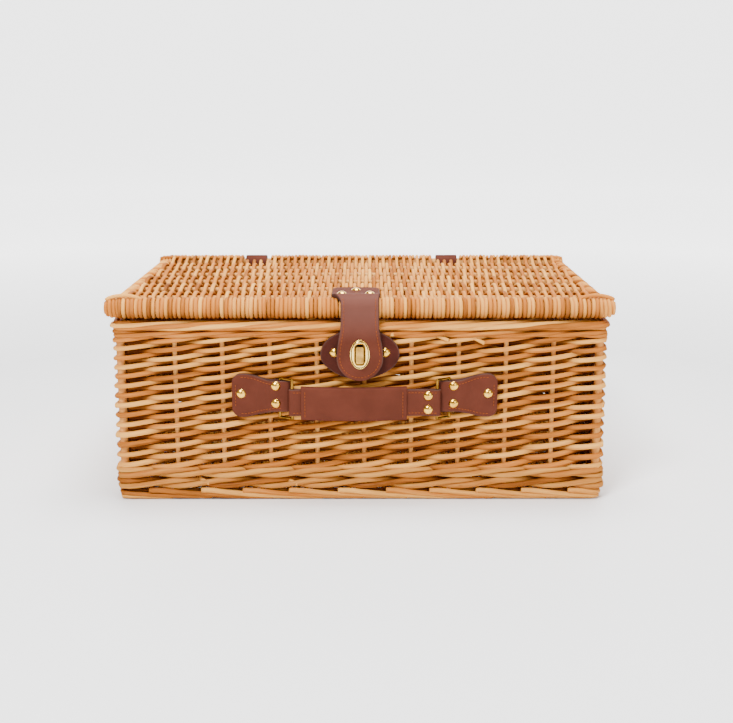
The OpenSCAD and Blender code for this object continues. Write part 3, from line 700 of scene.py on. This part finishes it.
class Strip:
    """A leather strip that follows a path; its outline is given by a half width at each point."""

    def __init__(self, path, width_dir, half, thick, corner=0.9):
        self.path = np.asarray(path, float)
        self.width_dir = np.asarray(width_dir, float)
        self.half = np.broadcast_to(np.asarray(half, float), len(self.path))
        self.thick, self.corner = thick, corner
        tangent = unit(np.gradient(self.path, axis=0))
        self.normal = unit(np.cross(tangent, self.width_dir))
        self.reach = distances(self.path)

    def add_to(self, mesh):
        """Puts the strip into a mesh, with slot 1 on its cut edges."""
        rings, edges = [], None
        for p, n, half in zip(self.path, self.normal, self.half):
            points, edges = section(max(half, 0.3), self.thick, self.corner)
            rings.append(p + points[:, :1] * self.width_dir + points[:, 1:] * n)
        across = np.linspace(0, 1, len(edges), endpoint=False) * 2 * self.half.max() * MM
        mesh.sweep(np.array(rings), self.reach * MM, across, 0.5, edges, flip=True)

    def surface(self, reach, across, out):
        """A point on the strip: so far along it, across it, and out from its middle."""
        p = read_off(self.path, self.reach, reach)
        n = read_off(self.normal, self.reach, reach)
        return p + np.multiply.outer(across, self.width_dir) + unit(n) * np.asarray(out)[..., None]

    def half_at(self, reach):
        return np.interp(reach, self.reach, self.half)


STITCH_PITCH = 3.1
STITCH_LENGTH = 2.2
STITCH_R = 0.29


def sew(mesh, path, outward, first, slot):
    """Thread along points on a surface: short raised loops that dive in at both ends."""
    reach = distances(path)
    lift = np.sin(np.linspace(0, math.pi, 6))[:, None] * 0.55 - 0.3
    for start in np.arange(first, reach[-1] - STITCH_LENGTH, STITCH_PITCH):
        at = np.linspace(start, start + STITCH_LENGTH, 6)
        direction = unit(read_off(outward, reach, at))
        loop = read_off(path, reach, at) + lift * direction
        mesh.rod(loop, STITCH_R, direction, sides=5, tone=0.5, slot=slot)


def stitches(mesh, path, slot):
    """A stitch line along points on a surface that faces forwards."""
    sew(mesh, path, np.broadcast_to(-BACK, path.shape), 1.0, slot)


def strip_stitches(mesh, strip, start, end, inset, slot, side=1):
    """Stitch lines along both edges of a strip, on one of its faces."""
    reach = np.linspace(start, end, 60)
    for sign in (-1, 1):
        across = sign * (strip.half_at(reach) - inset)
        seam, above = [strip.surface(reach, across, np.full(len(reach), side * (strip.thick / 2 + lift)))
                       for lift in (0, 1)]
        sew(mesh, seam, above - seam, 0.6, slot)


def arc(centre, radius, first, last, count):
    """Points round a centre, from one angle to another in degrees."""
    turn = np.radians(np.linspace(first, last, count))
    return np.stack([centre[0] + radius * np.cos(turn), centre[1] + radius * np.sin(turn)], -1)


def line(a, b, count):
    """Points from a to b, without a itself."""
    return np.linspace(a, b, count)[1:]


def joint(name):
    """The record's entry for a joint."""
    return next(j for j in frame["record"]["behaviour"]["joints"] if j["name"] == name)


SEAM_INSET = 3.2
STRAP_T = 3.9


def clasp_strap():
    """The strap from its riveted root on the lid, over the front edge, to its round end."""
    root_low, root_high = node_box("clasp_strap_root")
    flap_low, flap_high = node_box("clasp_flap")
    axis = np.array(joint("strap_bend")["pos_m"]) / MM
    half_t, neck_half, cap_h = STRAP_T / 2, 18.0, 2.2
    step_l, neck_l, ear_l = 15.0, 34.0, 20.0  # how long the changes of height and width are
    corner_r, seam_l = 9.0, 78.0
    out_y = axis[1] - half_t
    flat_z = node_box("clasp_root_rivets")[1][2] - cap_h - half_t
    low_z = flap_low[2]
    bulb_half = (flap_high[0] - flap_low[0]) / 2
    bulb_z = low_z + bulb_half
    ear_half = (root_high[0] - root_low[0]) / 2
    bend_r = -EDGE_Y - out_y
    top_z = EDGE_Z + bend_r
    yz = np.concatenate([
        np.linspace((root_high[1], flat_z), (-EDGE_Y + step_l, flat_z), 30),
        line((-EDGE_Y + step_l, flat_z), (-EDGE_Y, top_z), 8),
        arc((-EDGE_Y, EDGE_Z), bend_r, 90, 180, 22)[1:],
        line((out_y, EDGE_Z), (out_y, bulb_z), 40),
        [(out_y, low_z + bulb_half * (1 - math.sin(a))) for a in np.linspace(0, math.pi / 2, 26)[1:-1]],
        [(out_y, low_z + 0.05)],
    ])
    path = smoothed(xyz(0, *yz.T), 3)
    reach = distances(path)
    y, z = path[:, 1], path[:, 2]
    crease = reach[np.argmin(np.abs(z - EDGE_Z - 0.45 * bend_r) + (y > -EDGE_Y) * 99)]
    in_bulb = (z < bulb_z) & (y < out_y + 1)
    bulb = np.sqrt(np.maximum(bulb_half ** 2 - (bulb_z - z) ** 2, 0.2))
    neck = neck_half + (bulb_half - neck_half) * (1 - smoothstep((z - bulb_z) / neck_l))
    root = neck_half + (ear_half - neck_half) * smoothstep((crease - reach) / ear_l)
    root = root - rounding(corner_r - (root_high[1] - y), corner_r)
    path[:, 0] = (root_low[0] + root_high[0]) / 2 * smoothstep((crease - reach) / ear_l)
    mesh = Mesh()
    strip = Strip(path, ACROSS, np.select([in_bulb, z < EDGE_Z], [bulb, neck], root), STRAP_T)
    strip.add_to(mesh)
    piece = mesh.build("clasp_strap", [leather_sheen_and_wear, leather_edge], None, "strap_leather",
                       ["clasp_strap_root", "clasp_flap"])
    cut_slot(piece, out_y)
    mesh = Mesh()
    total = strip.reach[-1]
    strip_stitches(mesh, strip, total - seam_l, total - bulb_half * 1.08, SEAM_INSET, 0)
    # the seam round the bulb's end
    turn = np.linspace(-1.65, 1.65, 90)
    r = bulb_half - SEAM_INSET
    stitches(mesh, xyz(r * np.sin(turn), out_y - half_t, bulb_z - r * np.cos(turn)), 0)
    sewing = mesh.build("clasp_stitching", [thread], None, "strap_leather")
    for part in (piece, sewing):
        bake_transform(part)


def cut_slot(piece, y):
    """Cuts the turn lock's slot through the strap."""
    knob_low, knob_high = node_box("turn_knob")
    z = (knob_low[2] + knob_high[2]) / 2
    bpy.ops.mesh.primitive_cube_add(size=1, location=(0, y * MM, z * MM))
    cutter = bpy.context.object
    cutter.scale = np.array([SLOT_W, 3 * STRAP_T, SLOT_H]) * MM
    bpy.context.view_layer.update()
    cut = piece.modifiers.new("slot", "BOOLEAN")
    cut.object, cut.operation, cut.solver = cutter, "DIFFERENCE", "EXACT"
    bpy.context.view_layer.objects.active = piece
    bpy.ops.object.modifier_apply(modifier=cut.name)
    bpy.data.objects.remove(cutter)


def plate(mesh, outline, origin, thick, bevel):
    """A flat upright piece from its (x, z) outline: square at the back and rounded at the front edge."""
    tangent = unit(np.roll(outline, -1, 0) - np.roll(outline, 1, 0))
    inner = np.stack([-tangent[:, 1], tangent[:, 0]], -1)
    rings, depths = [], [(0.0, 0.0), (0.0, thick - bevel)]
    for a in (0.5, 1.0, math.pi / 2):
        depths.append((bevel * (1 - math.cos(a)), thick - bevel + bevel * math.sin(a)))
    for inset, depth in depths:
        flat = outline + inner * inset
        rings.append(origin + xyz(flat[:, 0], -depth, flat[:, 1]))
    count = len(outline)
    along = np.array([depth for _, depth in depths]) * MM
    mesh.sweep(np.array(rings), along, np.arange(count) * MM, 0.5, [1] * count, flip=True)
    mesh.slots[-1][:] = 0
    mesh.slots[-2][:] = 0


def keeper():
    """The dark patch behind the strap's end, fuller above its middle than below."""
    low, high = node_box("keeper_patch")
    centre = (low + high) / 2
    taller, bevel = 1.15, 0.9  # taller than its solid, as in the photograph
    half_w, half_h = (high[0] - low[0]) / 2, taller * (high[2] - low[2]) / 2
    turn = np.linspace(0, 2 * math.pi, 73)[:-1]
    fullness = np.where(np.sin(turn) > 0, 0.95, 1.3)
    outline = np.stack([half_w * signed_power(np.cos(turn), fullness), half_h * np.sin(turn)], -1)
    mesh = Mesh()
    plate(mesh, outline, np.array([centre[0], high[1], centre[2]]), high[1] - low[1], bevel)
    mesh.build("keeper_leather", [leather_dark, leather_edge], "basket", "keeper_leather", ["keeper_patch"])


HANDLE_X = (node_box("left_handle_tab")[0][0] + node_box("right_handle_tab")[1][0]) / 2


def handle_tabs():
    """Each tab is one strip folded round its ring's bar and riveted to the wall."""
    layer, corner_r, inset = 2.2, 9.0, 3.4
    neck_half, flare = 15.0, 6.0  # half the height beside the ring, and how much more at the outer end
    for name, sign in (("left_handle_tab", -1), ("right_handle_tab", 1)):
        low, high = node_box(name)
        outer_x, inner_x = (high[0], low[0]) if sign > 0 else (low[0], high[0])
        end = abs(outer_x - HANDLE_X)
        fold_r = (high[1] - low[1]) / 2
        fold = abs(inner_x - HANDLE_X) + fold_r
        bar_y = high[1] - fold_r
        front_y, outer_front = low[1] + layer / 2, high[1] - 1.5 * layer
        centre_z = (low[2] + high[2]) / 2
        # the front from the round end to the fold; it stands out more where the ring's bar is inside
        round_end = end - corner_r * (1 - np.cos(np.linspace(0.15, math.pi / 2, 10)))
        xs = np.concatenate([[end - 0.05], round_end, np.linspace(end - 10, fold, 44)])
        ys = outer_front + (front_y - outer_front) * smoothstep((104 - xs) / 14)
        xy = np.concatenate([
            np.stack([xs, ys], -1),
            arc((fold, bar_y), fold_r - layer / 2, 270, 90, 15)[1:],
            line((fold, high[1] - layer / 2), (end - 4, high[1] - layer / 2), 20)])
        half = neck_half + flare * smoothstep((xy[:, 0] - 85) / 30)
        half = half - rounding(xy[:, 0] - (end - corner_r), corner_r)
        mesh = Mesh()
        strip = Strip(xyz(HANDLE_X + sign * xy[:, 0], xy[:, 1], centre_z), sign * UP, half, layer, 0.8)
        strip.add_to(mesh)
        strip_stitches(mesh, strip, 8.0, strip.reach[len(xs) - 1] - 3, inset, 2, side=-1)
        seam_z = centre_z + np.linspace(-11.5, 11.5, 30)
        stitches(mesh, xyz(HANDLE_X + sign * (end - inset), outer_front - layer / 2, seam_z), 2)
        mesh.build(name + "_leather", [leather, leather_edge, thread], "basket", "strap_leather", [name])


def handle_strap():
    """One strip that goes round both rings' bars, with its ends under the grip."""
    low, high = node_box("handle_strap")
    y = (low[1] + high[1]) / 2
    layer, flat, ease = 2.0, 1.1, 9.0  # the layers lie flat mm from the middle and part near the rings
    fold_r = (high[1] - low[1]) / 2 - layer / 2
    left, right = low[0] + fold_r + layer / 2, high[0] - fold_r - layer / 2

    def layer_line(x0, x1, side):
        xs = np.linspace(x0, x1, 40)
        near = np.minimum(np.abs(xs - left), np.abs(xs - right))
        return np.stack([xs, y + side * (flat + (fold_r - flat) * (1 - smoothstep(near / ease)))], -1)

    xy = np.concatenate([
        layer_line(HANDLE_X - 6, right, 1),
        arc((right, y), fold_r, 90, -90, 15)[1:],
        layer_line(right, left, -1)[1:],
        arc((left, y), fold_r, 270, 90, 15)[1:],
        layer_line(left, HANDLE_X - 10, 1)[1:]])
    mesh = Mesh()
    strip = Strip(xyz(*xy.T, (high[2] + low[2]) / 2), UP, (high[2] - low[2]) / 2, layer, 0.7)
    strip.add_to(mesh)
    front = [i for i in range(len(xy)) if xy[i, 1] < y - flat + 0.01 or abs(xy[i, 1] - (y - fold_r)) < 0.05]
    start, end = strip.reach[front[0]], strip.reach[front[-1]]
    strip_stitches(mesh, strip, start + 2, end - 2, 3.0, 2, side=-1)
    mesh.build("handle_strap_leather", [leather, leather_edge, thread], "handle", "strap_leather",
               ["handle_strap"])


def handle_grip():
    """The padded sleeve round the handle's strap, slightly bowed, with a seam at each end."""
    low, high = node_box("handle_grip")
    taller, seam_x = 1.05, 3.9  # taller than its solid, as in the photograph
    half_h, half_t = taller * (high[2] - low[2]) / 2, (high[1] - low[1]) / 2
    centre_y, centre_z = (high[1] + low[1]) / 2, (high[2] + low[2]) / 2
    length = high[0] - low[0]
    ends = np.array([0, 0.15, 0.6, 1.4, 2.6, 3.6, 4.2, 4.8])
    t = np.concatenate([ends, np.linspace(7, length - 7, 40), length - ends[::-1]])
    from_end = np.minimum(t, length - t)
    swell = np.interp(from_end, [0, 0.6, 2.6, 3.6, 4.2, 6, 14], [0.80, 0.93, 0.97, 0.93, 0.91, 0.955, 1.0])
    u = 2 * t / length - 1
    sag = -1.1 * (1 - u ** 2) + 0.5
    turn = np.linspace(0, 2 * math.pi, 41)[:-1]
    rings = []
    for x, s, drop in zip(t, swell, sag):
        z = signed_power(np.sin(turn), 0.55) * half_h * (0.96 + 0.04 * s)
        y = -signed_power(np.cos(turn), 0.45) * half_t * s
        rings.append(xyz(low[0] + x, centre_y + y, centre_z + drop + z))
    mesh = Mesh()
    mesh.sweep(np.array(rings), t * MM, np.arange(40) * MM, 0.5)
    for x in (low[0] + seam_x, high[0] - seam_x):
        seam_z = centre_z + np.interp(x, low[0] + t, sag) + np.linspace(-half_h + 2.4, half_h - 2.4, 30)
        stitches(mesh, xyz(x, centre_y - half_t * 0.905, seam_z), 1)
    mesh.build("handle_grip_leather", [leather, thread], "handle", "strap_leather", ["handle_grip"])


def hinge_straps():
    """A band up the back wall, outside the rim, round the lid's back stick and in again behind itself."""
    thick, corner_r = 2.6, 6.0
    wall_y = OUTER_Y + thick / 2
    for name, (low, high) in zip(("left_hinge_strap", "right_hinge_strap"), HINGE_BOXES):
        leg_y = high[1] - thick / 2 - 0.05
        yz = smoothed(np.concatenate([
            np.linspace((wall_y, low[2]), (wall_y, RIM_LOW[2] - 11), 16),
            line((wall_y, RIM_LOW[2] - 11), (leg_y, RIM_LOW[2] - 1), 8),
            line((leg_y, RIM_LOW[2] - 1), (leg_y, EDGE_Z), 10),
            arc((EDGE_Y, EDGE_Z), leg_y - EDGE_Y, 0, 300, 44)[1:]]), 2)
        path = xyz((low[0] + high[0]) / 2, *yz.T)
        on_wall = path[:, 1] < leg_y - 1
        half = (high[0] - low[0]) / 2 - on_wall * rounding(corner_r - (path[:, 2] - low[2]), corner_r)
        mesh = Mesh()
        strip = Strip(path, -ACROSS, half, thick)
        strip.add_to(mesh)
        seam_end = strip.reach[36]  # a little way into the loop
        strip_stitches(mesh, strip, 7, seam_end, SEAM_INSET, 2, side=-1)
        mesh.build(name + "_leather", [leather, leather_edge, thread], "basket", "strap_leather", [name])


# ---- brass

def eyelet():
    """The oval plate on the strap: a raised rim, a groove and a flat round the slot."""
    low, high = node_box("eyelet_plate")
    centre = (low + high) / 2
    half_w, half_h = (high[0] - low[0]) / 2, (high[2] - low[2]) / 2
    thick = high[1] - low[1]
    turn = np.linspace(0, 2 * math.pi, 97)[:-1]
    outer = np.stack([half_w * np.cos(turn), half_h * np.sin(turn)], -1)
    power = 0.28  # the slot's corners are nearly square
    slot = np.stack([SLOT_W / 2 * signed_power(np.cos(turn), power),
                     SLOT_H / 2 * signed_power(np.sin(turn), power)], -1)
    # how far in from the oval to the slot, and how far up the thickness
    profile = [(0, 0), (0, 0.45), (0.05, 0.8), (0.12, 1.0), (0.20, 0.97), (0.26, 0.62), (0.31, 0.50),
               (0.36, 0.62), (0.44, 0.86), (0.60, 0.92), (0.90, 0.92), (0.92, 0.45), (1.0, 0.45), (1.0, 0.0)]
    rings = []
    for inner, rise in profile:
        flat = outer * (1 - inner) + slot * inner
        rings.append(xyz(centre[0] + flat[:, 0], high[1] - rise * thick, centre[2] + flat[:, 1]))
    rings = np.array(rings + [rings[0]])
    n, m, _ = rings.shape
    mesh = Mesh()
    i, k = np.meshgrid(np.arange(n - 1), np.arange(m), indexing="ij")
    j = (k + 1) % m
    quads = np.stack([i * m + k, i * m + j, (i + 1) * m + j, (i + 1) * m + k], -1).reshape(-1, 4)
    # painted shade: dark brass in the groove, the slot and at the back
    dark = [1 if row in (4, 5, 6) or row >= 10 else 0 for row in range(n - 1)]
    face_slots = np.repeat(dark, m)
    mesh.put(rings.reshape(-1, 3), quads[:, ::-1], np.zeros((len(quads) * 4, 2)), 0.5, face_slots)
    mesh.build("eyelet_oval", [brass_pale, brass_painted_shade], "flap", "brass", ["eyelet_plate"])


BRASS_NODES = ["keeper_rivets", "keeper_washers", "left_tab_rivets", "right_tab_rivets",
               "left_tab_washers", "right_tab_washers", "hinge_rivets", "hinge_washers",
               "clasp_root_rivets", "clasp_root_washers", "eyelet_back_plate", "handle_rivets"]
STICK_NODES = ["corner_posts", "side_stakes", "base_sticks", "lid_sticks", "lid_front_stick",
               "lid_back_stick"]


def dress_frame():
    """Materials for the CAD pieces that stay in view."""
    # the turn lock's plate takes the darkened brass as painted shade behind the slot
    dressed = ((BRASS_NODES, brass), (["turn_knob"], brass_knob), (["turnlock_plate"], brass_painted_shade),
               (["left_ring", "right_ring"], brass_dull), (STICK_NODES, willow_stick))
    for names, material in dressed:
        for name in names:
            data = frame["nodes"][name].data
            data.materials.clear()
            data.materials.append(material)


# ---- studio

FLOOR_GLOW = (0.0, 2.4)  # the white floor's glow near the basket and far from it
GLOW_REACH = (0.7, 2.0)  # metres from the basket where the glow begins and is full


def studio():
    """A white floor that curves up behind, and soft light from above, the left and the front."""
    width, front, back, bend, height = 12.0, -6.0, 4.0, 2.0, 5.0
    curve = [(back + bend * math.sin(a), bend * (1 - math.cos(a))) for a in np.linspace(0, math.pi / 2, 13)]
    yz = [(front, 0.0), *curve, (back + bend, height)]
    points = [(sx * width / 2, y, z) for y, z in yz for sx in (-1, 1)]
    faces = [(2 * i, 2 * i + 1, 2 * i + 3, 2 * i + 2) for i in range(len(yz) - 1)]
    data = bpy.data.meshes.new("studio_floor")
    data.from_pydata(points, [], faces)
    data.polygons.foreach_set("use_smooth", np.ones(len(faces), bool))
    shader = Shader("studio_white", Specular_IOR_Level=0.1)
    where = shader.place((1, 1, 1))
    tint = shader.mix(shader.noise(where, 0.6), (0.90, 0.90, 0.90), (0.93, 0.93, 0.93))
    far = shader.node("ShaderNodeVectorMath", {0: where}, operation="LENGTH").outputs["Value"]
    glow = shader.span(far, *FLOOR_GLOW, *GLOW_REACH)
    shader.tree.links.new(glow, shader.bsdf.inputs["Emission Strength"])
    shader.bsdf.inputs["Emission Color"].default_value = (1, 1, 1, 1)
    data.materials.append(shader.finish(tint))
    floor = bpy.data.objects.new("studio_floor", data)
    bpy.context.scene.collection.objects.link(floor)
    world = bpy.data.worlds.new("studio_air")
    world.use_nodes = True
    air = world.node_tree.nodes["Background"].inputs
    air["Color"].default_value, air["Strength"].default_value = (1, 1, 1, 1), 0.35
    bpy.context.scene.world = world
    # each light's place in metres, size and power
    lights = (("key", (-0.7, -1.6, 2.0), 0.7, 92), ("fill", (1.5, -2.0, 1.2), 1.4, 24),
              ("top", (0.2, 0.1, 2.2), 1.2, 95))
    for name, place, size, power in lights:
        light = bpy.data.lights.new(name, "AREA")
        light.size, light.energy = size, power
        lamp = bpy.data.objects.new(name, light)
        lamp.location = place
        lamp.rotation_euler = (Vector((0, 0, 0.1)) - Vector(place)).to_track_quat("-Z", "Y").to_euler()
        bpy.context.scene.collection.objects.link(lamp)


def camera():
    """The viewpoint: in front, a little above the lid."""
    data = bpy.data.cameras.new("camera")
    place, down, roll = np.array([6.37, -1335.3, 382.5]), 11.86, 0.03  # millimetres and degrees
    data.sensor_width = 36.0
    data.lens = 61.94
    data.clip_end = 50
    view = bpy.data.objects.new("camera", data)
    view.location = place * MM
    view.rotation_euler = (math.radians(90 - down), math.radians(roll), 0)
    bpy.context.scene.collection.objects.link(view)
    bpy.context.scene.camera = view


camera()
studio()
dress_frame()
randing()
wales()
rim_border()
foot_border()
cut_ends()
base_panel()
lid_rods().build("lid_rods", [willow], "lid", "woven_willow", ["lid_weave"])
lid_end_borders()
lid_corners()
clasp_strap()
keeper()
handle_tabs()
handle_strap()
handle_grip()
hinge_straps()
eyelet()
